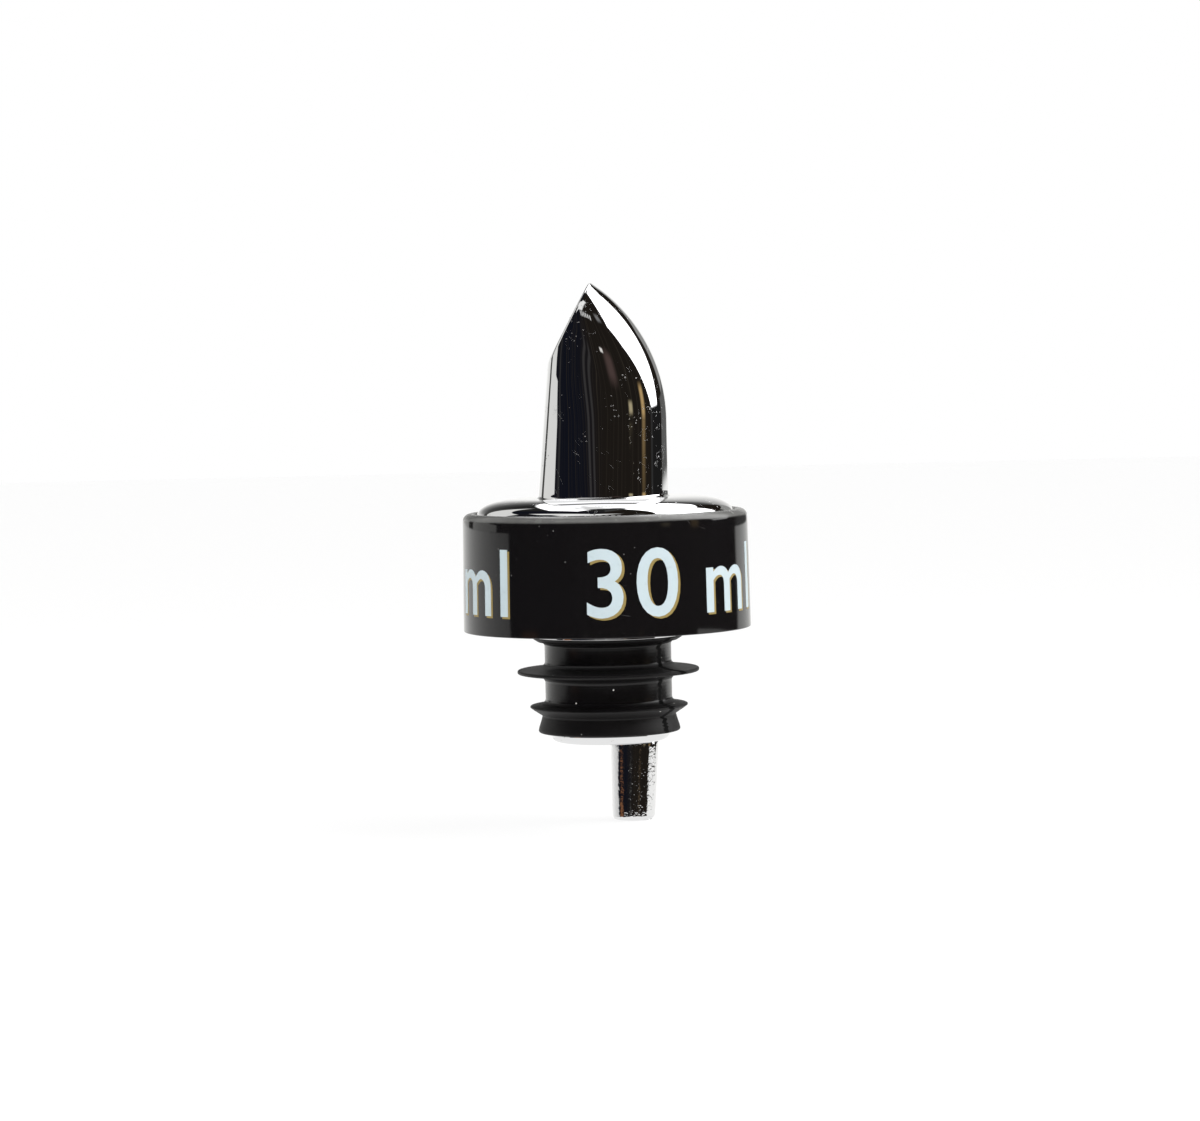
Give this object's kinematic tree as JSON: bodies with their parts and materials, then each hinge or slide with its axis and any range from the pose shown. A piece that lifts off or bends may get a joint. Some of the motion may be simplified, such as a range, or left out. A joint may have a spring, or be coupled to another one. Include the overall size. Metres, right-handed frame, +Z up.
{
  "type": "measured liquor pourer",
  "caption": "Bottle-top pourer with a hooded chrome spout, a printed black collar, a finned rubber cork, an offset breather tube and a timing ball that stops the flow.",
  "frame": {"origin": "on the axis, in the plane of the collar's underside, where the lip of the bottle stops", "axes": "+Z up along the axis to the tip of the spout, -X the way the mouth faces, +X the side of the breather tube"},
  "size_m": [0.0352, 0.0352, 0.0658],
  "materials": {
    "chrome_shell": "polished plating with fine scratches and pits",
    "collar_black": "gloss moulding with a printed measure",
    "cork_rubber": "semi-matte rubber with faint turning rings",
    "seal_rubber": "matte rubber",
    "inner_plastic": "natural moulding",
    "plug_plastic": "coloured moulding",
    "ball_steel": "ground and polished",
    "tube_steel": "drawn"
  },
  "bodies": {
    "root": {"spout_head": "chrome_shell", "stopper_core": "chrome_shell", "skirt_gasket": "seal_rubber", "cork_sleeve": "cork_rubber", "end_cap": "chrome_shell", "breather_tube": "chrome_shell", "check_seat": "inner_plastic", "air_tube": "tube_steel", "valve_seat": "inner_plastic", "seat_ring": "seal_rubber", "air_seal": "seal_rubber", "timer_cup": "inner_plastic", "metering_plug": "plug_plastic"},
    "collar": {"print_collar": "collar_black"},
    "timer_ball": {"timer_ball": "ball_steel"},
    "check_ball": {"check_ball": "ball_steel"}
  },
  "joints": [
    {"name": "collar_turn", "type": "hinge", "parent": "root", "child": "collar", "pos_m": [0, 0, 0], "axis": [0, 0, 1], "continuous": true},
    {"name": "timer_ball_slide", "type": "slide", "parent": "root", "child": "timer_ball", "axis": [0, 0, 1], "range_m": [0, 0.00415]},
    {"name": "check_ball_slide", "type": "slide", "parent": "root", "child": "check_ball", "axis": [0, 0, 1], "range_m": [0, 0.00355]}
  ]
}
